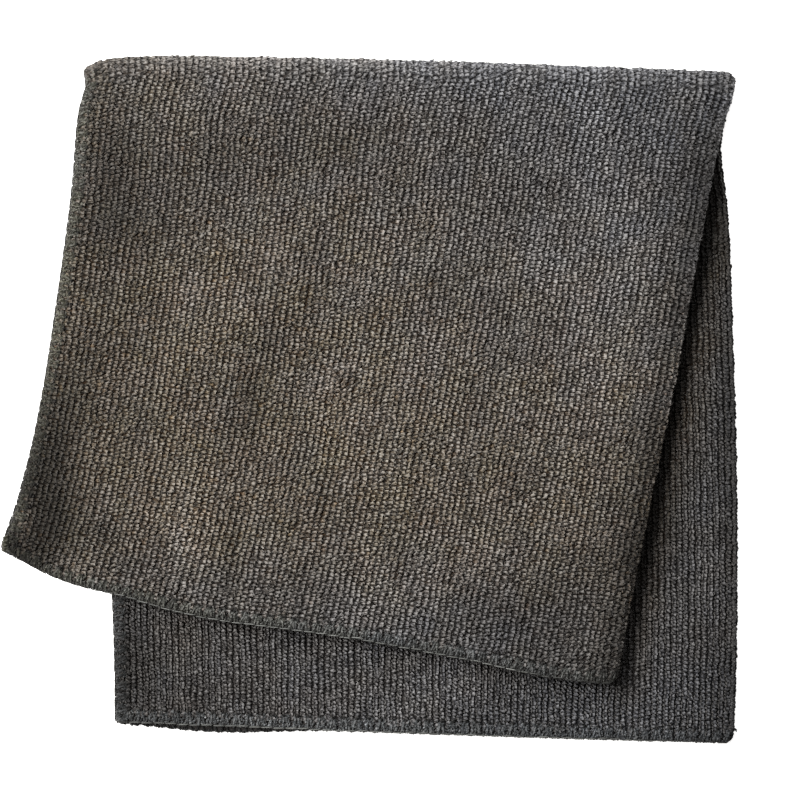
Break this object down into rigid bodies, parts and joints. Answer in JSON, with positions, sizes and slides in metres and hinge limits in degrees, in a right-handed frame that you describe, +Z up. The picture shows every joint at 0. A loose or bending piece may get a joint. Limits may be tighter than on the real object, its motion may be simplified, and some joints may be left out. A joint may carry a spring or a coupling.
{
  "type": "microfibre cloth",
  "caption": "Square looped-knit microfibre cleaning cloth with overlocked edges, folded into a quarter of its size, its upper half swung askew.",
  "frame": {"origin": "middle of the folded cloth's outline, on the surface that it lies on", "axes": "+X to the side fold of the back pair of layers, +Y to the top fold, +Z up off the surface"},
  "size_m": [0.2324, 0.216, 0.0133],
  "materials": {
    "knit": "matte looped pile, dark warm grey"
  },
  "bodies": {
    "root": {"cloth": "knit"}
  },
  "joints": []
}
